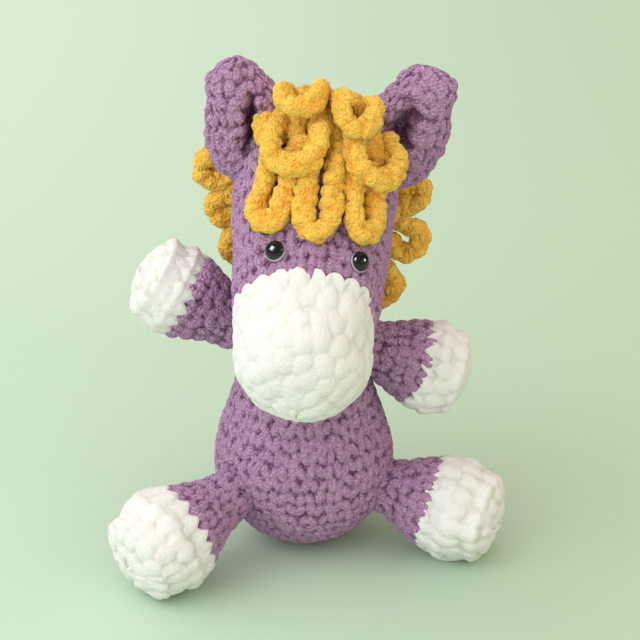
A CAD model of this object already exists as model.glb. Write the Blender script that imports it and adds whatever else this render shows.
# A seated plush horse, crocheted in thick chenille yarn: a mauve body, head, ears, arms and
# legs, a white muzzle and hooves, safety eyes, and a mustard mane and tail of chain loops.
# Lengths are in metres. The toy faces -Y, and its own left side is +X.

import itertools
import math

import bpy
import numpy as np
from mathutils import Matrix, Quaternion, Vector


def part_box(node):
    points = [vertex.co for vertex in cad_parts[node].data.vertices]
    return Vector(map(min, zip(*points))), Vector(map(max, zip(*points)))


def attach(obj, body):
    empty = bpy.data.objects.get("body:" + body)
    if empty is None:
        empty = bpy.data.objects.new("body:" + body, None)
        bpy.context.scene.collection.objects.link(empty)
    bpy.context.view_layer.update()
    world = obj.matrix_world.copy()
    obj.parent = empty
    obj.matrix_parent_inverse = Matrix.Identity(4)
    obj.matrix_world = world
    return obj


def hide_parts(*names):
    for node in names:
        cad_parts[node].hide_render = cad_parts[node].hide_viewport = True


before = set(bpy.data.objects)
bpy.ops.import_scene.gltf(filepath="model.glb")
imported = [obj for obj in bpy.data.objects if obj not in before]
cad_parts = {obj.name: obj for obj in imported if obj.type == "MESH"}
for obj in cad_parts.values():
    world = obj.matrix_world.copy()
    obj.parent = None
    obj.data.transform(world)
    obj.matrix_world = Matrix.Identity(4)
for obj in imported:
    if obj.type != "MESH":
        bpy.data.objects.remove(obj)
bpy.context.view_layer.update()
bpy.ops.object.select_all(action="DESELECT")

# Studio: the toy sits on a pale green paper sweep that has no visible corner. Daylight comes
# through a window on the left, and a warm room behind the camera fills the shadows.

LOOK_AT = Vector((0.010, 0.0, 0.144))
LOOK_DOWN = math.radians(22.0)
LOOK_FROM = 1.1
LENS = 103.0  # focal length in millimetres, as is the width of the film
FILM_WIDTH = 36.0

bpy.ops.object.camera_add(
    location=LOOK_AT + LOOK_FROM * Vector((0.0, -math.cos(LOOK_DOWN), math.sin(LOOK_DOWN))),
    rotation=(math.pi / 2 - LOOK_DOWN, 0.0, 0.0))
camera = bpy.context.object
camera.name = "camera"
camera.data.lens = LENS
camera.data.sensor_width = FILM_WIDTH
bpy.context.scene.camera = camera
bpy.context.scene.view_settings.view_transform = "Standard"


class Wire:
    """A shader value that takes part in sums; each sum adds its Math node."""

    def __init__(self, tree, socket):
        self.tree = tree
        self.socket = socket

    def math(self, operation, *terms):
        made = self.tree.nodes.new("ShaderNodeMath")
        made.operation = operation
        for slot, term in zip(made.inputs, terms):
            if isinstance(term, Wire):
                self.tree.links.new(term.socket, slot)
            else:
                slot.default_value = term
        return Wire(self.tree, made.outputs[0])

    def __add__(self, other):
        return self.math("ADD", self, other)

    __radd__ = __add__

    def __sub__(self, other):
        return self.math("SUBTRACT", self, other)

    def __rsub__(self, other):
        return self.math("SUBTRACT", other, self)

    def __mul__(self, other):
        return self.math("MULTIPLY", self, other)

    __rmul__ = __mul__

    def __truediv__(self, other):
        return self.math("DIVIDE", self, other)

    def __rtruediv__(self, other):
        return self.math("DIVIDE", other, self)

    def __pow__(self, other):
        return self.math("POWER", self, other)

    def held(self):
        """The value kept between 0 and 1."""
        top = self.math("MINIMUM", self, 1.0)
        return top.math("MAXIMUM", top, 0.0)


class Finish:
    """A material or a world under construction."""

    def __init__(self, owner, **constants):
        self.owner = owner
        owner.use_nodes = True
        self.tree = owner.node_tree
        self.shader = self.tree.nodes.get("Principled BSDF") or self.tree.nodes["Background"]
        for label, value in constants.items():
            self.shader.inputs[label.replace("_", " ")].default_value = value

    def node(self, kind, settings=None, output=0, **sockets):
        """A node of a kind: its settings first, then its sockets, by name or as _6 by number."""
        made = self.tree.nodes.new("ShaderNode" + kind)
        for label, value in (settings or {}).items():
            setattr(made, label, value)
        for label, value in sockets.items():
            slot = made.inputs[int(label[1:]) if label[1:].isdigit() else label.replace("_", " ")]
            if isinstance(value, Wire):
                self.tree.links.new(value.socket, slot)
            else:
                slot.default_value = value
        return Wire(self.tree, made.outputs[output])

    def mix(self, share, low, high):
        """A colour between two, by a share."""
        return self.node("Mix", {"data_type": "RGBA"}, 2, _0=share, _6=low, _7=high)

    def give(self, **links):
        for label, wire in links.items():
            self.tree.links.new(wire.socket, self.shader.inputs[label.replace("_", " ")])
        return self.owner


SWEEP_SIZE = 8.0
SWEEP_BACK = 1.0
LENS_BACK = 1.02  # from the toy to the floor under the lens
NEAREST = 0.85  # the paper changes no more behind this
FAR_LEFT = (0.585, 0.770, 0.644, 1.0)
FAR_RIGHT = (0.459, 0.618, 0.450, 1.0)
NEAR_LEFT = (0.492, 0.664, 0.524, 1.0)
NEAR_RIGHT = (0.432, 0.592, 0.430, 1.0)
WINDOW_SIDE = (1.0, 1.0, 0.985, 1.0)
ROOM_SIDE = (0.44, 0.330, 0.255, 1.0)
DAYLIGHT = 1.64
MIRRORED_DAYLIGHT = 0.30  # the room as the eyes mirror it

paper = Finish(bpy.data.materials.new("paper_sweep"), Roughness=0.9)
spot = paper.node("TexCoord", output=3)
away = paper.node("SeparateXYZ", output=0, Vector=spot)
back = paper.node("SeparateXYZ", output=1, Vector=spot)
from_lens = back + LENS_BACK
nearness = 1.0 / from_lens.math("MAXIMUM", from_lens, NEAREST)
to_right = (away * nearness * 2.3 + 0.5).held()
to_right = to_right * to_right * (3.0 - 2.0 * to_right)
near = (nearness * 2.72 - 1.05).held()
sweep_far = paper.mix(to_right, FAR_LEFT, FAR_RIGHT)
sweep_near = paper.mix(to_right, NEAR_LEFT, NEAR_RIGHT)
bpy.ops.mesh.primitive_plane_add(size=SWEEP_SIZE, location=(0.0, SWEEP_BACK, 0.0))
floor = bpy.context.object
floor.name = "paper_sweep"
bpy.ops.object.transform_apply(location=True, rotation=True, scale=True)
floor.data.materials.append(paper.give(Base_Color=paper.mix(near, sweep_far, sweep_near)))
bpy.ops.object.select_all(action="DESELECT")

# The two panes only show as highlights in what is glossy, such as the eyes.
for name, place, size, energy, colour, lights in (
    ("window_left", (-1.10, -0.85, 1.40), 1.7, 7.5, (0.94, 0.97, 1.0), True),
    ("pane_left", (-1.25, -0.62, 1.48), 1.0, 60.0, (0.90, 0.95, 1.0), False),
    ("pane_right", (1.82, -0.20, 0.85), 0.6, 16.0, (1.0, 0.97, 0.92), False),
    ("room_right", (1.2, -1.0, 0.7), 0.8, 1.3, (1.0, 0.76, 0.60), True),
):
    bpy.ops.object.light_add(type="AREA", location=place)
    lamp = bpy.context.object
    lamp.name = name
    lamp.data.size = size
    lamp.data.energy = energy
    lamp.data.color = colour
    lamp.rotation_mode = "QUATERNION"
    lamp.rotation_quaternion = (LOOK_AT - Vector(place)).to_track_quat("-Z", "Y")
    lamp.visible_diffuse = lights

sky = bpy.data.worlds.new("room")
bpy.context.scene.world = sky
air = Finish(sky)
way = air.node("TexCoord", output=0)
rightward = (
    air.node("SeparateXYZ", output=0, Vector=way) * 0.5
    + air.node("SeparateXYZ", output=1, Vector=way) * 0.35 + 0.5).held()
mirrored = air.node("LightPath", output=3)
air.give(
    Color=air.mix(rightward, WINDOW_SIDE, ROOM_SIDE),
    Strength=DAYLIGHT - mirrored * (DAYLIGHT - MIRRORED_DAYLIGHT))

# Body: single crochet worked in rounds from the seat up to the neck and stuffed firmly. Each
# stitch shows as a V of two plump strands, about 11 mm wide and 8.4 mm high, and the fabric
# is a pear that rests on the floor on its own bottom.

STITCH = 0.0113  # width of one stitch
ROUND = 0.0084  # height of one round
SEAT_R = 0.0562  # the low and the high end of the pear
SEAT_Z = 0.0557
DOME_R = 0.029
DOME_Z = 0.142
LEAN = 0.36  # how far the strands of a V lean, in radians
ASIDE = 0.0007  # how far a strand strays from its place, sideways and upward
ASKEW = 0.0011
ROLL = 0.30  # how far its lean strays, in radians
UNEVEN = 0.12  # how much strands differ in size
SQUARENESS = 2.2  # 2 is an oval strand, and more is squarer
PUFF = 0.0022  # how far the yarn stands proud of the creases
UNDER_PUFF = 0.0010  # how far the creases lie under the outline
LUMP = 0.0009  # the stuffing's soft hills
SOFT_HILL = 0.021
NAP = 0.0005  # the yarn's fine and coarse fluff
PILE = 0.0021
FLUFF = 0.0042
LEAST_GIRTH = 0.0015
RIM_WIDE = 0.0010  # how far from an edge the yarn rounds over
TUCK_WIDE = 0.010  # how far from an edge the cover is drawn in
GATHERED = 6  # rings that close an open edge inside
FLOOR_GAP = 0.0001
MAUVE_TOP = (0.635, 0.374, 0.605, 1.0)
MAUVE_DEEP = (0.135, 0.046, 0.110, 1.0)

SHUFFLE = (73856093, 19349663, 83492791)  # large primes that scatter the noise
STIR = (7919, 1274126177, 668265263)
LOW_BITS = 0x7FFFFFFF
HALF_RANGE = 32767.5
CHANCES = 4096  # rows of random numbers that the strands draw from
CHANCE_STEP = 211  # from one round's first row to the next


def soft_noise(points, pitch, seed):
    """Smooth random numbers from -1 to 1 over space, with features one pitch apart."""
    cell = points / pitch
    base = np.floor(cell).astype(np.int64)
    part = cell - base
    part = part * part * (3 - 2 * part)
    total = np.zeros(len(points))
    for corner in itertools.product((0, 1), repeat=3):
        place = base + np.array(corner)
        mixed = (place * np.array(SHUFFLE)).sum(axis=1) + seed * STIR[0]
        mixed = (mixed ^ (mixed >> 13)) * STIR[1] & LOW_BITS
        mixed = (mixed ^ (mixed >> 16)) * STIR[2] & LOW_BITS
        value = ((mixed ^ (mixed >> 15)) & 0xFFFF) / HALF_RANGE - 1
        total += value * np.prod(np.where(corner, part, 1 - part), axis=1)
    return total


def smooth_line(points, steps):
    """A smooth line through points."""
    points = np.array([tuple(point) for point in points], float)
    ends = np.vstack([2 * points[0] - points[1], points, 2 * points[-1] - points[-2]])
    line = []
    for a, b, c, d in zip(ends, ends[1:], ends[2:], ends[3:]):
        for t in np.linspace(0, 1, steps, endpoint=False):
            line.append(0.5 * (2 * b + (c - a) * t + (2 * a - 5 * b + 4 * c - d) * t * t
                               + (3 * b - a - 3 * c + d) * t ** 3))
    return np.array(line + [points[-1]])


def run_of(line):
    """How far along a line each of its points lies."""
    steps = np.linalg.norm(np.diff(line, axis=0), axis=1)
    return np.concatenate([[0.0], np.cumsum(steps)])


def through(points):
    """A smooth outline through (radius, height) points, with arc length and normals."""
    curve = smooth_line(points, 24)
    curve[:, 0] = np.maximum(curve[:, 0], 0.0)
    step = np.linalg.norm(np.diff(curve, axis=0), axis=1)
    curve = curve[np.concatenate([[True], step > 1e-9])]
    length = run_of(curve)
    way = np.gradient(curve, length, axis=0)
    way /= np.linalg.norm(way, axis=1)[:, None]
    return length, curve, np.stack([way[:, 1], -way[:, 0]], axis=1)


def pear(low_r, high_r, apart):
    """Outline of the hull of two balls, from the low pole to the high one."""
    tilt = math.asin((low_r - high_r) / apart)
    lower = np.linspace(-math.pi / 2, tilt, 9)
    upper = np.linspace(tilt, math.pi / 2, 9)
    flank = np.linspace(0, 1, 7)[1:-1]
    foot = np.array([low_r * math.cos(tilt), low_r * math.sin(tilt)])
    brow = np.array([high_r * math.cos(tilt), apart + high_r * math.sin(tilt)])
    return (
        [(low_r * math.cos(a), low_r * math.sin(a)) for a in lower]
        + [tuple(foot + (brow - foot) * t) for t in flank]
        + [(high_r * math.cos(a), apart + high_r * math.sin(a)) for a in upper])


def stitches(climb, turn, girth, table, seed, strands_each=2, wander=1.0, tall=ROUND, edge=0.6,
             fill=(0.55, 0.63), soft=8.0):
    """How high the yarn stands, from 0 in the creases to 1 on the strands.

    Two strands each make a V, one makes a plain bump. A round climbs by one height in each
    turn, as crochet does. The more soft, the sharper the crease between two strands.
    """
    length, curve = table[:2]
    climb = climb - tall * turn / (2 * math.pi)
    dice = np.random.RandomState(seed)
    rows = int(length[-1] / tall) + 6
    row_r = np.interp((np.arange(rows) - 3) * tall, length, curve[:, 0])
    worked = np.maximum(5, np.rint(2 * math.pi * row_r / STITCH)).astype(int)
    strands = strands_each * worked
    phase = dice.rand(rows) * 2
    chance = dice.rand(CHANCES, 5) * 2 - 1
    height = np.zeros(len(climb))
    nearest = np.rint(climb / tall).astype(int)
    for up in (-1, 0, 1):
        row = np.clip(nearest + up + 3, 0, rows - 1)
        count = strands[row]
        place = turn / (2 * math.pi) * count - phase[row]
        wide = 2 * math.pi * np.maximum(girth, LEAST_GIRTH) / count
        for aside in (-1, 0, 1):
            strand = np.rint(place).astype(int) + aside
            roll = chance[(row * CHANCE_STEP + np.mod(strand, count)) % CHANCES]
            across = (place - strand) * wide + roll[:, 0] * ASIDE * wander
            upward = climb - (row - 3) * tall + roll[:, 1] * ASKEW * wander
            side = np.where(np.mod(strand, 2) == 0, 1, -1) if strands_each == 2 else 0
            tilt = LEAN * side + roll[:, 2] * ROLL * wander
            a = across * np.cos(tilt) + upward * np.sin(tilt)
            b = upward * np.cos(tilt) - across * np.sin(tilt)
            size = 1 + roll[:, 3] * UNEVEN
            spread = (np.abs(a / (wide * fill[0] * size)) ** SQUARENESS
                      + np.abs(b / (tall * fill[1] * size)) ** SQUARENESS)
            rise = np.clip(1 - spread, 0, 1) ** edge * (1 + roll[:, 4] * UNEVEN)
            height += rise ** soft
    return height ** (1 / soft)


def points_of(piece, what="co"):
    """A piece's points or their normals as an array of rows."""
    flat = np.empty(len(piece.data.vertices) * 3)
    piece.data.vertices.foreach_get(what, flat)
    return flat.reshape(-1, 3)


def placed(points, place):
    """Points carried by a placement."""
    return points @ np.array(place.to_3x3()).T + np.array(place.translation)


def crocheted(name, table, columns, rings, place, seed, low=None, high=None, rim=None,
              slant=None, lump=LUMP, puff=PUFF, tuck=0.0, nap=NAP, **stitch):
    """A crocheted cover turned about its own +Z, between a low and a high edge.

    An edge is open fabric: its rings are gathered to the middle inside, a rim gives it
    scallops, a slant tips it over, and a tuck below zero draws it in under its neighbour.
    """
    length, curve, normals = table
    start = 0.0 if low is None else low
    stop = length[-1] if high is None else high
    bpy.ops.mesh.primitive_uv_sphere_add(segments=columns, ring_count=rings, radius=1.0)
    piece = bpy.context.object
    piece.name = name
    piece.data.name = name
    unit = points_of(piece)
    count = len(unit)
    t = 1 - np.arccos(np.clip(unit[:, 2], -1, 1)) / math.pi
    turn = np.mod(np.arctan2(unit[:, 1], unit[:, 0]), 2 * math.pi)
    cap = GATHERED / rings
    begin = np.full(count, start)
    end = np.full(count, stop)
    inside = np.ones(count)
    part = t
    if low is not None:
        inside = np.clip(t / cap, 0, 1)
        part = np.clip((t - cap) / (1 - cap), 0, 1)
        begin = begin + (slant(turn) if slant else 0.0)
    elif high is not None:
        inside = np.clip((1 - t) / cap, 0, 1)
        part = np.clip(t / (1 - cap), 0, 1)
        end = end + (slant(turn) if slant else 0.0)
    along = begin + part * (end - begin)
    climb = start + part * (stop - start)
    if rim is not None:
        along = along + rim(turn) * (1 - part) ** 3
    radius = np.interp(along, length, curve[:, 0])
    height = np.interp(along, length, curve[:, 1])
    out = np.stack([np.interp(along, length, normals[:, k]) for k in (0, 1)])
    out /= np.linalg.norm(out, axis=0)
    rise = stitches(climb, turn, radius, table, seed, **stitch)
    round_way = np.stack([np.cos(turn), np.sin(turn)])
    skin = np.stack([radius * round_way[0], radius * round_way[1], height], axis=1)
    fluff = soft_noise(skin, PILE, seed + 1) * 0.6 + soft_noise(skin, FLUFF, seed + 2) * 0.4
    lift = (rise - 0.72) * puff + soft_noise(skin, SOFT_HILL, seed) * lump + fluff * nap
    from_rim = None
    if low is not None:
        from_rim = along - begin - (rim(turn) if rim is not None else 0.0)
    elif high is not None:
        from_rim = end - along
    if from_rim is not None and tuck >= 0:
        lift = lift - puff * 0.5 * np.exp(-np.maximum(from_rim, 0) / RIM_WIDE)
    if from_rim is not None and tuck < 0:
        lift = lift + tuck * (1 - np.clip(from_rim / TUCK_WIDE, 0, 1))
    flat = radius + lift * out[0]
    local = np.stack([flat * round_way[0], flat * round_way[1], height + lift * out[1]], axis=1)
    if low is not None or high is not None:
        edge = begin if low is not None else end
        centre_z = float(np.interp(edge.mean(), length, curve[:, 1]))
        shut = inside < 1
        local[:, :2] *= np.where(shut, inside * 0.94, 1)[:, None]
        local[:, 2] = np.where(shut, centre_z + (local[:, 2] - centre_z) * inside, local[:, 2])
    world = placed(local, place)
    hollow = np.clip(1 - rise * 1.15, 0, 1) - fluff * 0.15
    return piece, world, hollow


def settle(piece, world, hollow, material):
    """Puts a cover's points in place, notes how deep its creases are, and dresses it."""
    piece.data.vertices.foreach_set("co", world.astype(np.float32).ravel())
    crease = piece.data.attributes.new("crease", "FLOAT", "POINT")
    crease.data.foreach_set("value", hollow.astype(np.float32))
    piece.data.update()
    piece.data.shade_smooth()
    piece.data.materials.append(material)
    bpy.ops.object.select_all(action="DESELECT")


def drawn_to(world, heart, clearance):
    """Points that come too near something move towards a heart until they clear it."""
    heart = np.array(heart)
    bad = clearance(world) < 0
    low = np.zeros(bad.sum())
    high = np.ones(bad.sum())
    start = world[bad]
    for halving in range(18):
        share = (low + high) / 2
        clear = clearance(start + (heart - start) * share[:, None]) >= 0
        high = np.where(clear, share, high)
        low = np.where(clear, low, share)
    world = world.copy()
    world[bad] = start + (heart - start) * high[:, None]
    return world


def chenille(name, top, deep, glow, grain, pile_high, blotch=0.10):
    """Fuzzy pile: pale where the tips catch the light, darker down in the creases."""
    tint = [min(1.0, share * 1.5 + 0.1) for share in top[:3]] + [1.0]
    yarn = Finish(
        bpy.data.materials.new(name), Roughness=0.95, Sheen_Weight=glow, Sheen_Roughness=0.45,
        Sheen_Tint=tint, Specular_IOR_Level=0.04)
    spot = yarn.node("TexCoord", output=3)
    crease = yarn.node("Attribute", {"attribute_name": "crease"}, 2)
    pile = yarn.node("TexNoise", Vector=spot, Scale=900.0, Detail=2.0, Roughness=0.6)
    curl = yarn.node(
        "TexVoronoi", {"feature": "SMOOTH_F1"}, Vector=spot, Scale=520.0, Smoothness=0.3)
    patch = yarn.node("TexNoise", Vector=spot, Scale=110.0, Detail=2.0)
    tips = (pile - curl * 1.6 + 0.68).held()
    shade = crease.held() ** 1.4 * 0.72
    depth = (shade + (0.5 - tips) * grain + (patch - 0.5) * blotch * 2.0).held()
    return yarn.give(
        Base_Color=yarn.mix(depth, top, deep),
        Normal=yarn.node("Bump", Strength=1.0, Distance=pile_high, Height=tips))


mauve_yarn = chenille("mauve_chenille", MAUVE_TOP, MAUVE_DEEP, 0.35, grain=0.8, pile_high=0.0026)
body_table = through(pear(SEAT_R - UNDER_PUFF, DOME_R - UNDER_PUFF, DOME_Z - SEAT_Z))
body_place = Matrix.Translation((0.0, 0.0, SEAT_Z))
body, body_points, body_hollow = crocheted("body", body_table, 400, 300, body_place, 11)
body_points[:, 2] = np.maximum(body_points[:, 2], FLOOR_GAP)
settle(body, body_points, body_hollow, mauve_yarn)
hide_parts("body_cover", "body_filling")
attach(body, "body")

# Neck yarn: one strand of the body's own yarn runs through the last round and gathers it, so
# that the opening closes up under the head.

neck_low, neck_high = (Vector(corner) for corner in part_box("neck_yarn"))
neck_mid = (neck_low + neck_high) / 2
NECK_STRAND = (neck_high.z - neck_low.z) / 2
NECK_FLUFF = 0.0022
neck_ring = (neck_high.x - neck_low.x) / 2 - NECK_STRAND
bpy.ops.mesh.primitive_torus_add(
    location=neck_mid, major_radius=neck_ring, minor_radius=NECK_STRAND * 0.9,
    major_segments=180, minor_segments=20)
neck_yarn = bpy.context.object
neck_yarn.name = "neck_strand"
bpy.ops.object.transform_apply(location=True, rotation=True, scale=True)
points = points_of(neck_yarn)
centre = points - np.array(neck_mid)
flat = np.linalg.norm(centre[:, :2], axis=1)
core = np.stack(
    [centre[:, 0] / flat * neck_ring, centre[:, 1] / flat * neck_ring, 0 * flat], axis=1)
fluff = soft_noise(points, NECK_FLUFF, 5)
points = points + (centre - core) * (fluff * 0.12)[:, None]
settle(neck_yarn, points, np.clip(0.4 - fluff * 0.5, 0, 1), mauve_yarn)
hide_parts("neck_yarn")
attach(neck_yarn, "neck")

# Head: an egg worked from the back of the skull down to the nose and stuffed. It changes
# from mauve to white yarn for the muzzle, and the white stitches bite into the mauve ones in
# round scallops. Its underside is pressed hollow where it sits on the neck and the chest.

SKULL_R = 0.0495  # the two ends of the egg
MUZZLE_R = 0.0394
SKULL_AT = Vector((0.0075, 0.004, 0.226))
MUZZLE_AT = Vector((0.0, -0.070, 0.1535))
HEAD_ROLL = math.radians(9.0)
COLOUR_CHANGE = 0.0735  # from the skull's centre to the first white round
NECK_AT = Vector((0.0, 0.0, DOME_Z))
SCALLOPS = 24
SCALLOP_DEEP = 0.0042
SLANT = 0.0115  # how far the edge of the white tips over
TUCKED = -0.0035  # how far the mauve edge dips under the white one
WHITE_WORK = dict(nap=0.0002, strands_each=1, edge=0.75, fill=(0.60, 0.64), soft=2.6)
WHITE_TOP = (0.735, 0.735, 0.71, 1.0)
WHITE_DEEP = (0.58, 0.60, 0.525, 1.0)

skull_turn = Quaternion((0.0, 1.0, 0.0), HEAD_ROLL)
face_up = skull_turn @ Vector((0.0, 0.0, 1.0))


def aimed(direction, upward=Vector((0.0, 0.0, 1.0))):
    """The turn that takes +Z to a direction and keeps +Y as near as it can to another."""
    z = direction.normalized()
    x = upward.cross(z).normalized()
    return Matrix((x, z.cross(x), z)).transposed()


def off_the_body(world):
    """How far points lie outside the neck's dome and the pear below it."""
    gap = 0.0004
    tilt = math.asin((SEAT_R - DOME_R) / (DOME_Z - SEAT_Z))
    flat = np.linalg.norm(world[:, :2], axis=1)
    up = world[:, 2] - SEAT_Z
    dome = np.linalg.norm(world - np.array(NECK_AT), axis=1) - DOME_R - gap
    flank = flat * math.cos(tilt) + up * math.sin(tilt) - SEAT_R - gap
    seat = np.hypot(flat, up) - SEAT_R - gap
    beside = up * math.cos(tilt) - flat * math.sin(tilt)
    reach = (DOME_Z - SEAT_Z) * math.cos(tilt)
    pear_off = np.where(beside < 0, seat, np.where(beside > reach, dome, flank))
    return np.minimum(dome, pear_off)


head_place = aimed(MUZZLE_AT - SKULL_AT, face_up).to_4x4()
head_place.translation = SKULL_AT
head_apart = (MUZZLE_AT - SKULL_AT).length
head_table = through(pear(SKULL_R - UNDER_PUFF, MUZZLE_R - 0.0002, head_apart))
change_at = float(np.interp(COLOUR_CHANGE, head_table[1][:, 1], head_table[0]))


def head_scallop(turn):
    """The white edge reaches into the mauve in rounded lobes, one to a stitch."""
    lobe = np.abs(np.cos(turn / 2 * SCALLOPS))
    return -SCALLOP_DEEP * lobe ** 0.6 + 0.0007 * np.sin(turn * 5.0 + 1.0)


def head_slant(turn):
    """The white starts highest in the middle of the face and lower at the cheeks."""
    return SLANT * (1 - np.sin(turn))


HEART = SKULL_AT + (MUZZLE_AT - SKULL_AT) * 0.45 + Vector((0.0, 0.0, 0.012))
head, head_points, head_hollow = crocheted(
    "head", head_table, 380, 220, head_place, 23, high=change_at + 0.006, slant=head_slant,
    tuck=TUCKED)
head_points = drawn_to(head_points, HEART, off_the_body)
settle(head, head_points, head_hollow, mauve_yarn)
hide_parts("head_cover", "head_filling")
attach(head, "head")

white_yarn = chenille(
    "white_chenille", WHITE_TOP, WHITE_DEEP, 0.1, grain=0.05, blotch=0.04, pile_high=0.0002)
muzzle, muzzle_points, muzzle_hollow = crocheted(
    "muzzle", head_table, 340, 190, head_place, 31, low=change_at + 0.001, rim=head_scallop,
    slant=head_slant, lump=0.0028, puff=0.0017, wander=2.8, tall=0.0125, **WHITE_WORK)
muzzle_points = drawn_to(muzzle_points, HEART, off_the_body)
settle(muzzle, muzzle_points, muzzle_hollow * 0.5, white_yarn)
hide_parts("muzzle_cover")
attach(muzzle, "head")

# Eyes: plastic safety eyes, a glossy black dome on a pearly disc. The shank goes through the
# cover, and a washer is pushed on behind it inside the head, which clamps the fabric.

EYE_ALONG = 0.0625  # from the skull's centre towards the nose
EYE_SPREAD = math.radians(32.0)
EYE_R = 0.0060
EYE_DISC = 0.0014
EYE_DOME_R = 0.0056
EYE_DOME_HEIGHT = 0.0040
EYE_DOME_SHIFT = 0.0004  # the dome sits a little high on its disc
EYE_PROUD = 0.0006
PEARL_DIM = (0.26, 0.23, 0.30, 1.0)
PEARL_PALE = (0.48, 0.45, 0.53, 1.0)
JET_DEEP = (0.004, 0.004, 0.006, 1.0)
JET_PALE = (0.009, 0.007, 0.009, 1.0)
WASHER_DIM = (0.76, 0.76, 0.74, 1.0)
WASHER_PALE = (0.82, 0.82, 0.80, 1.0)

pearl = Finish(bpy.data.materials.new("pearly_plastic"), Roughness=0.22, Coat_Weight=0.5)
swirl = pearl.node("TexNoise", Vector=pearl.node("TexCoord", output=3), Scale=180.0, Detail=2.0)
pearl = pearl.give(Base_Color=pearl.mix(swirl, PEARL_DIM, PEARL_PALE))
jet = Finish(bpy.data.materials.new("polished_black"), Specular_IOR_Level=0.6)
haze = jet.node("TexNoise", Vector=jet.node("TexCoord", output=3), Scale=700.0, Detail=3.0)
jet = jet.give(
    Base_Color=jet.mix(haze, JET_DEEP, JET_PALE), Roughness=haze * 0.04 + 0.01)
moulded = Finish(bpy.data.materials.new("moulded_washer"), Roughness=0.5)
grainy = moulded.node("TexNoise", Vector=moulded.node("TexCoord", output=3), Scale=900.0)
moulded = moulded.give(
    Base_Color=moulded.mix(grainy, WASHER_DIM, WASHER_PALE),
    Normal=moulded.node("Bump", Strength=0.2, Distance=0.0002, Height=grainy))

egg_tilt = math.asin((SKULL_R - MUZZLE_R) / head_apart)
eye_skin = (SKULL_R - EYE_ALONG * math.sin(egg_tilt)) / math.cos(egg_tilt)
for side, spread in (("right", -EYE_SPREAD), ("left", EYE_SPREAD)):
    across = Vector((math.sin(spread), math.cos(spread), 0.0))
    outward = across * math.cos(egg_tilt) + Vector((0.0, 0.0, math.sin(egg_tilt)))
    eye_place = head_place @ (
        Matrix.Translation(across * eye_skin + Vector((0.0, 0.0, EYE_ALONG)))
        @ aimed(outward, Vector((0.0, 0.0, -1.0))).to_4x4())
    for part, name, radius, low, high, shift, material in (
        ("disc", "pearly_rim_", EYE_R, -0.0008, EYE_DISC, 0.0, pearl),
        ("dome", "black_eye_", EYE_DOME_R, EYE_DISC - 0.0003, EYE_DISC + EYE_DOME_HEIGHT,
         EYE_DOME_SHIFT, jet),
    ):
        bpy.ops.mesh.primitive_uv_sphere_add(segments=96, ring_count=64, radius=1.0)
        ball = bpy.context.object
        ball.name = name + side
        rise = high - low if part == "dome" else (high - low) / 2
        middle = low if part == "dome" else (high + low) / 2
        for point in ball.data.vertices:
            x, y, z = point.co
            z = math.copysign(abs(z) ** 0.8, z) if part == "disc" else max(z, 0.0)
            point.co = eye_place @ Vector(
                (x * radius, y * radius + shift, z * rise + middle + EYE_PROUD))
        ball.data.shade_smooth()
        ball.data.materials.append(material)
        node = "eye_%s_%s" % (part, side)
        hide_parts(node)
        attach(ball, "head")
        bpy.ops.object.select_all(action="DESELECT")
    washer = bpy.data.objects["eye_washer_" + side]
    washer.data.materials.clear()
    washer.data.materials.append(moulded)

# Ears: each ear is a flat leaf of the mauve yarn, folded so that its two long edges roll in
# towards each other, and sewn across its foot to the skull.

EAR_SIZE = (0.048, 0.030, 0.079)
EAR_BACK = math.radians(-4.0)
EAR_OFFSET = 0.004
EAR_SUNK = 0.0025  # how deep the foot lies in the skull's fabric
EAR_SEAM = 0.0022  # the crease below the fold's hollow
EAR_SEAM_DEEP = 0.0035
CUP_FLOOR = 0.20  # the hollow's floor, as a share of the ear's depth behind its middle
RUB_WIDE = 0.0080  # where the ear gives way to the mane when it folds
RUB_DEEP = 0.0024

skull_place = Matrix.Translation(SKULL_AT) @ skull_turn.to_matrix().to_4x4()


def off_the_skull(world):
    """How far points lie outside the skull's fabric, into which the ear's foot is sewn."""
    return np.linalg.norm(world - np.array(SKULL_AT), axis=1) - SKULL_R + EAR_SUNK


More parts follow.
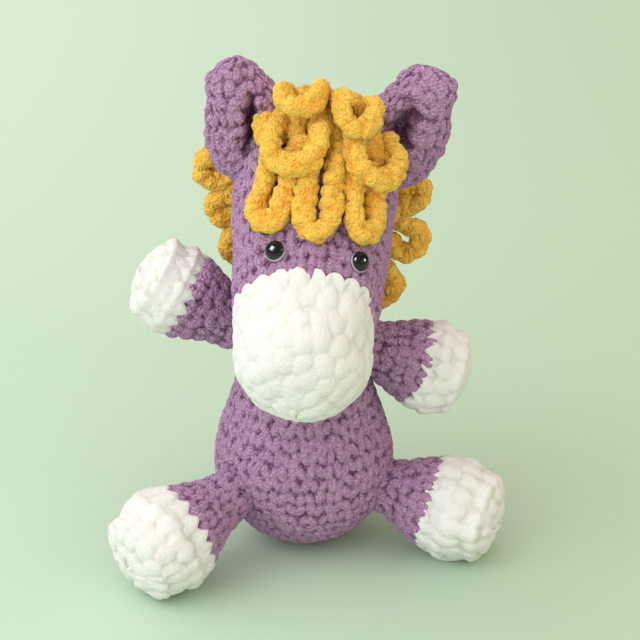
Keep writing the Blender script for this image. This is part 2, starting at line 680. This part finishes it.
# The hollow is given by its middle, half width, half length and lean, and the leaf by how far
# its edge reaches in millimetres, every 30 degrees from +X.
for side, sign, down, lean, drop, rub, cup, leaf in (
    ("right", -1, math.radians(57.0), math.radians(14.0), 0.40, (-0.0197, 0.0150, 0.2765),
     (0.0046, -0.0040, 0.0040, 0.0185, 0.09),
     (22.5, 27.5, 29.5, 37.5, 33.5, 23.5, 22.0, 25.5, 31.5, 39.0, 32.0, 24.5)),
    ("left", 1, math.radians(53.0), math.radians(6.0), 0.30, (0.0486, 0.0153, 0.2658),
     (-0.0035, -0.0060, 0.0070, 0.0195, 0.16),
     (26.0, 27.0, 38.5, 36.5, 26.5, 24.0, 24.5, 27.0, 33.0, 39.0, 34.5, 27.5)),
):
    out = Vector((
        sign * math.sin(down), math.cos(down) * math.sin(EAR_BACK),
        math.cos(down) * math.cos(EAR_BACK)))
    tilt = Quaternion((0.0, 1.0, 0.0), sign * lean)
    leaf_at = tilt @ Vector((sign * EAR_OFFSET, 0.0, EAR_SIZE[2] / 2 - EAR_SIZE[2] * drop))
    ear_place = skull_place @ (
        Matrix.Translation(out * SKULL_R + leaf_at) @ tilt.to_matrix().to_4x4())
    bpy.ops.mesh.primitive_uv_sphere_add(segments=220, ring_count=150, radius=1.0)
    ear = bpy.context.object
    ear.name = "folded_ear_" + side
    unit = points_of(ear)
    facing = np.arctan2(unit[:, 2], unit[:, 0])
    corners = np.append(leaf, leaf[0]) / 1000
    steps = np.mod(facing, 2 * math.pi) / (2 * math.pi) * 12
    share = steps - np.floor(steps)
    share = share * share * (3 - 2 * share) * 0.5 + share * 0.5
    first = np.floor(steps).astype(int) % 12
    reach = corners[first] * (1 - share) + corners[first + 1] * share
    flat = np.hypot(unit[:, 0], unit[:, 2])
    base = np.stack([
        np.cos(facing) * flat * reach, unit[:, 1] * EAR_SIZE[1] / 2, np.sin(facing) * flat * reach],
        axis=1)
    cup_x, cup_z, cup_wide, cup_long, cup_lean = cup
    from_x = base[:, 0] - cup_x - (base[:, 2] - cup_z) * cup_lean
    from_z = base[:, 2] - cup_z
    spread = np.sqrt((from_x / cup_wide) ** 2 + (from_z / cup_long) ** 2)
    front = np.clip(-unit[:, 1] * 4, 0, 1)
    sink = np.clip(1.45 - spread, 0, 1)
    sink = sink * sink * (3 - 2 * sink) * front
    base[:, 1] = base[:, 1] + (EAR_SIZE[1] * CUP_FLOOR - base[:, 1]) * sink
    seam = np.exp(-(from_x / EAR_SEAM) ** 2) * np.clip(-from_z / 0.012, 0, 1) * front
    base[:, 1] = base[:, 1] + seam * EAR_SEAM_DEEP * (1 - sink)
    leaf_table = through([
        (EAR_SIZE[0] / 2 * math.cos(a), EAR_SIZE[2] / 2 * math.sin(a))
        for a in np.linspace(-math.pi / 2, math.pi / 2, 11)])
    turn = np.mod(np.arctan2(unit[:, 1], unit[:, 0]), 2 * math.pi)
    along = np.interp(base[:, 2], leaf_table[1][:, 1], leaf_table[0])
    girth = np.interp(along, leaf_table[0], leaf_table[1][:, 0])
    rise = stitches(along, turn, girth, leaf_table, 41 + sign, wander=1.6)
    ear.data.vertices.foreach_set("co", base.ravel())
    ear.data.update()
    normal = points_of(ear, "normal")
    fluff = (soft_noise(base, PILE, 3) * 0.6 + soft_noise(base, FLUFF, 4) * 0.4) * NAP * 1.4
    lift = (rise - 0.6) * PUFF + fluff + soft_noise(base, 0.016, 4) * 0.0014
    base = base + normal * lift[:, None]
    world = placed(base, ear_place)
    from_rub = np.linalg.norm(world - np.array(rub), axis=1)
    world[:, 1] -= RUB_DEEP * np.exp(-(from_rub / RUB_WIDE) ** 2)
    world = drawn_to(world, ear_place.translation, off_the_skull)
    settle(ear, world, np.clip(1 - rise * 1.2, 0, 1) * 0.9 + sink * 1.1 + seam * 0.4, mauve_yarn)
    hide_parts("ear_" + side)
    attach(ear, "ear_" + side)

# Arms and legs: tubes worked from the hoof up to the root and stuffed, with a white hoof
# that is drawn in round its sole. The root is gathered to a ball and sewn to the body.

SOLE_CROWN = ((0.48, 0.80), (0.80, 0.42))
LIMB_SCALLOPS = 18
LIMB_SCALLOP_DEEP = 0.0056

# A limb's sizes run outward along its own axis, from its pivot.
ARM = dict(
    root_r=0.0162, waist=0.0105, mid_r=0.0232, cuff=0.034, cuff_r=0.0270, barrel=0.043,
    barrel_r=0.0288, groove=0.051, groove_r=0.0262, sole=0.0565, sole_r=0.0258, tip=0.0655)
LEG = dict(
    root_r=0.0160, waist=0.0105, mid_r=0.0238, cuff=0.035, cuff_r=0.0290, barrel=0.050,
    barrel_r=0.0322, groove=0.064, groove_r=0.0278, sole=0.0690, sole_r=0.0272, tip=0.0775)


def limb_scallop(turn):
    """The white edge reaches up the sleeve in rounded bites."""
    tooth = np.abs(np.mod(turn / (2 * math.pi) * LIMB_SCALLOPS, 1.0) * 2 - 1)
    return -LIMB_SCALLOP_DEEP * tooth ** 0.85


def way_out(side, turn, slope):
    """From the toy's side towards its front by a turn, and up by a slope."""
    flat = math.cos(slope)
    return Vector((side * flat * math.cos(turn), -flat * math.sin(turn), math.sin(slope)))


for seed, limb, size, place, direction in (
    (51, "arm_right", ARM, (-0.04106, 0.0, 0.142), way_out(-1, 0.0, math.radians(32.0))),
    (53, "arm_left", ARM, (0.03704, 0.0, 0.127), way_out(1, 0.0, math.radians(-18.5))),
    (55, "leg_right", LEG, (-0.046, -0.03929, 0.04567),
     way_out(-1, math.radians(40.5), math.radians(-16.5))),
    (57, "leg_left", LEG, (0.04657, -0.01161, 0.04065),
     way_out(1, math.radians(20.0), math.radians(-11.0))),
):
    dome = size["tip"] - size["sole"]
    mid = size["waist"] + (size["cuff"] - size["waist"]) * 0.52
    outline = [(size["root_r"] * math.cos(a), size["root_r"] * math.sin(a))
               for a in np.linspace(-math.pi / 2, 0.0, 6)]
    outline += [
        (size["root_r"] + 0.0022, size["waist"]), (size["mid_r"], mid),
        (size["cuff_r"], size["cuff"]),
        ((size["barrel_r"] + size["cuff_r"]) / 2,
         size["cuff"] + (size["barrel"] - size["cuff"]) * 0.55),
        (size["barrel_r"], size["barrel"]), (size["groove_r"], size["groove"]),
        (size["sole_r"], size["sole"])]
    outline += [(size["sole_r"] * r, size["sole"] + dome * h) for r, h in reversed(SOLE_CROWN)]
    outline.append((0.0, size["tip"]))
    table = through(outline)
    limb_place = aimed(direction).to_4x4()
    limb_place.translation = Vector(place)
    cuff_at = float(np.interp(size["cuff"], table[1][:, 1], table[0]))
    for part, yarn, low, high, rim, fill, working in (
        ("sleeve", mauve_yarn, None, cuff_at + 0.007, None, 0.85, dict()),
        ("hoof", white_yarn, cuff_at + 0.002, None, limb_scallop, 0.9, dict(
            puff=0.0020, lump=0.0020, wander=2.0, tall=0.0115, **WHITE_WORK)),
    ):
        piece, world, hollow = crocheted(
            "%s_of_%s" % (part, limb), table, 240, 110, limb_place, seed + (part == "hoof"),
            low, high, rim, tuck=TUCKED if part == "sleeve" else 0.0, **working)
        world[:, 2] = np.maximum(world[:, 2], FLOOR_GAP)
        settle(piece, world, hollow, yarn)
        node = limb + "_" + part
        if part == "sleeve":
            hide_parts(node, limb + "_filling")
        else:
            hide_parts(node)
        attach(piece, limb)

# Mane: rows of plain chain in mustard yarn. Each row is one unbroken chain that is caught
# down on the skull at every turn, and its loops hang to the face, to the back and behind the
# ears.

STRAND = 0.0100  # thickness of a chain, which also measures its loops
OVER_ROW = STRAND + 0.0006
CHAIN_OUT = SKULL_R + STRAND / 2 + 0.0003
CHAIN_PITCH = 0.0068  # length of one chain stitch
CORD_R = 0.0051
KNOB = 0.0022
CORD_RING = 0.00085
CURLY = 0.20  # how much the fluff changes a chain's thickness
SIDE_LOCK_BACK = math.radians(26.0)
MUSTARD_TOP = (1.0, 0.590, 0.095, 1.0)
MUSTARD_DEEP = (0.95, 0.34, 0.016, 1.0)

face_way = skull_turn.inverted() @ (MUZZLE_AT - SKULL_AT).normalized()
mustard_yarn = chenille("mustard_chenille", MUSTARD_TOP, MUSTARD_DEEP, 0.6, grain=0.36,
                        pile_high=0.0016)


def meander(loops):
    """(side, along) points of a chain that goes down and up once for each loop.

    A loop is its middle, its width and its drop, in strands.
    """
    path = []
    for i, (middle, width, drop) in enumerate(loops):
        middle, width, drop = middle * STRAND, width * STRAND, drop * STRAND
        left, right, bend = middle - width / 2, middle + width / 2, width / 2
        if i == 0:
            path.append((left, 0.0))
        path += [(left, (drop - bend) * share) for share in (0.3, 0.75)]
        path += [(middle + bend * math.cos(b), drop - bend + bend * math.sin(b))
                 for b in np.linspace(math.pi, 0, 5)]
        path += [(right, (drop - bend) * share) for share in (0.75, 0.3)]
        if i + 1 < len(loops):
            half = ((loops[i + 1][0] - loops[i + 1][1] / 2) * STRAND - right) / 2
            path += [(right + half * (1 - math.cos(b)), -half * math.sin(b))
                     for b in math.pi * np.array((0.2, 0.5, 0.8))]
        else:
            path.append((right, 0.0))
    return path


def across_skull(start, sense, loops, tip_lift=0.0, base=0.0, climb=0.34):
    """A row over the head, whose loops hang to the face (-1) or to the back (+1)."""
    longest = max(drop for middle, width, drop in loops) * STRAND
    points = []
    for side, along in meander(loops):
        rise = min(1.0, max(0.0, along / (longest * climb)))
        far = CHAIN_OUT + base + (tip_lift - base) * rise * rise * (3 - 2 * rise)
        over = start + sense * along / CHAIN_OUT
        across = side / CHAIN_OUT
        way = Vector((
            math.sin(across), -math.cos(across) * math.cos(over),
            math.cos(across) * math.sin(over)))
        turn = math.acos(max(-1.0, min(1.0, way.dot(face_way)))) + egg_tilt
        reach = 1 / math.sin(turn) if turn < math.pi / 2 else 1.0
        points.append(skull_place @ (way * far * reach))
    return points


def beside_skull(start, sense, loops):
    """A row down one side of the head behind the ear, whose loops stand outward."""
    path = meander(loops)
    points = []
    for i, (side, along) in enumerate(path):
        if i in (0, len(path) - 1):
            along = -0.0024
        elif along < 0.0:
            along *= -0.12
        turn = start + sense * side / CHAIN_OUT
        far = CHAIN_OUT * math.cos(SIDE_LOCK_BACK) + along
        points.append(skull_place @ Vector((
            far * math.cos(turn), CHAIN_OUT * math.sin(SIDE_LOCK_BACK), far * math.sin(turn))))
    return points


def chain(name, path, seed, body, node, replaced=True, plump=1.0):
    """A chain along a path: a plump cord with a knob for each stitch, to one side by turns."""
    line = smooth_line(path, 12)
    run = run_of(line)
    rings = int(run[-1] / CORD_RING)
    bpy.ops.mesh.primitive_uv_sphere_add(segments=28, ring_count=rings, radius=1.0)
    cord = bpy.context.object
    cord.name = name
    cord.data.name = name
    unit = points_of(cord)
    t = np.arccos(np.clip(unit[:, 2], -1, 1)) / math.pi
    turn = np.arctan2(unit[:, 1], unit[:, 0])
    near_end = np.minimum(t, 1 - t) * (run[-1] + 2 * CORD_R)
    place = np.clip(t * (run[-1] + 2 * CORD_R) - CORD_R, 0, run[-1])
    past = t * (run[-1] + 2 * CORD_R) - CORD_R - place
    stations = np.linspace(0, run[-1], rings * 2)
    spine = np.stack([np.interp(stations, run, line[:, k]) for k in range(3)], axis=1)
    way = np.gradient(spine, stations, axis=0)
    way /= np.linalg.norm(way, axis=1)[:, None]
    side = [np.cross(way[0], np.array(SKULL_AT) - spine[0])]
    for step in way:
        held = side[-1] - step * side[-1].dot(step)
        side.append(held / np.linalg.norm(held))
    side = np.array(side[1:])
    other = np.cross(way, side)

    def at(track):
        return np.stack([np.interp(place, stations, track[:, k]) for k in range(3)], axis=1)

    dice = np.random.RandomState(seed)
    knobs = int(run[-1] / CHAIN_PITCH * 2) + 4
    jitter = dice.rand(knobs + 4, 4) * 2 - 1
    along = place + past
    rise = np.zeros(len(t))
    nearest = np.rint(along / (CHAIN_PITCH / 2)).astype(int)
    for step in (-2, -1, 0, 1, 2):
        k = nearest + step
        roll = jitter[np.clip(k + 2, 0, knobs + 3)]
        centre = k * CHAIN_PITCH / 2 + roll[:, 0] * 0.0008
        facing = k * math.pi + (k // 2) * 0.5 + roll[:, 1] * 0.5
        apart = (along - centre) / (CHAIN_PITCH * 0.62 * (1 + roll[:, 2] * UNEVEN))
        swing = np.abs(np.mod(turn - facing + math.pi, 2 * math.pi) - math.pi) / 1.55
        knob = np.sqrt(np.clip(1 - apart ** 2 - swing ** 2, 0, 1)) * (1 + roll[:, 3] * UNEVEN)
        rise = np.maximum(rise, knob)
    thick = (CORD_R + (rise - 0.1) * KNOB) * plump
    tip = np.clip(near_end / CORD_R, 0, 1)
    thick = thick * np.sqrt(tip * (2 - tip))
    middle = at(spine)
    sideways = at(side) * np.cos(turn)[:, None] + at(other) * np.sin(turn)[:, None]
    radial = at(way) * past[:, None] * 0.8 + sideways * thick[:, None]
    fluff = (soft_noise(middle + radial, PILE, seed) * 0.6
             + soft_noise(middle + radial, FLUFF, seed + 1) * 0.5)
    world = middle + radial * (1 + fluff * CURLY)[:, None]
    settle(cord, world, np.clip(0.75 - rise * 0.9, 0, 1) - fluff * 0.2, mustard_yarn)
    if replaced:
        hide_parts(node)
    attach(cord, body)


chain("fringe_chain", across_skull(math.radians(36.0), -1, (
    (-2.40, 1.30, 3.8), (0.0, 1.30, 3.6), (2.40, 1.30, 3.6))), 61, "head", "mane_fringe")
chain("brow_chain", across_skull(math.radians(57.0), -1, (
    (-1.55, 2.40, 2.9), (2.50, 2.50, 2.9)), OVER_ROW), 62, "head", "mane_brow")
chain("top_chain", across_skull(math.radians(79.5), -1, (
    (-1.30, 1.50, 2.5), (1.00, 1.30, 3.2)), 2 * OVER_ROW, -0.0007, 0.56), 63, "head", "mane_top",
    plump=0.94)
# The parting has no solid of its own, and closes the gaps under the rows beside it.
chain("parting_chain", across_skull(math.radians(71.0), -1, (
    (-3.30, 1.20, 1.9), (-1.10, 1.20, 2.7), (1.10, 1.20, 2.7), (3.30, 1.20, 2.2)), -0.001), 70,
    "head", "mane_top", replaced=False)
chain("crown_chain", across_skull(math.radians(109.0), 1, (
    (-2.45, 1.35, 2.0), (0.0, 1.35, 2.2), (2.45, 1.35, 2.0))), 64, "head", "mane_crown", plump=0.84)
chain("back_chain", across_skull(math.radians(142.5), 1, (
    (-2.60, 1.50, 2.5), (0.0, 1.50, 2.7), (2.60, 1.50, 2.5))), 65, "head", "mane_back")
chain("nape_chain", across_skull(math.radians(181.5), 1, (
    (-2.60, 1.50, 2.6), (0.0, 1.50, 2.9), (2.60, 1.50, 2.6))), 66, "head", "mane_nape")
chain("lock_chain_right", beside_skull(math.radians(178.0), 1, (
    (0.60, 1.30, 1.9), (2.95, 1.30, 1.5), (5.30, 1.30, 2.1))), 67, "head", "mane_lock_right")
chain("lock_chain_left", beside_skull(math.radians(2.0), -1, (
    (0.45, 1.30, 1.6), (2.80, 1.30, 2.7), (5.15, 1.30, 3.9))), 68, "head", "mane_lock_left")

# Tail: the same chain in two long loops, sewn by its upper end to the middle of the back, so
# that it hangs down over the seat and can be lifted.

TAIL_AT = Vector((0.0, 0.04749, 0.091))
tail_tilt = math.asin((SEAT_R - DOME_R) / (DOME_Z - SEAT_Z))
tail_out = Vector((0.0, math.cos(tail_tilt), math.sin(tail_tilt)))
tail_down = Vector((0.0, math.sin(tail_tilt), -math.cos(tail_tilt)))
tail_path = meander(((-1.35, 1.45, 5.2), (1.35, 1.45, 5.6)))
tail_top = STRAND / 2 - min(along for side, along in tail_path)
chain("tail_chain", [
    TAIL_AT + Vector((side, 0.0, 0.0)) + tail_down * (along + tail_top)
    + tail_out * (STRAND / 2 + 0.0003 - side ** 2 / (2 * SEAT_R))
    for side, along in tail_path], 69, "tail", "tail")
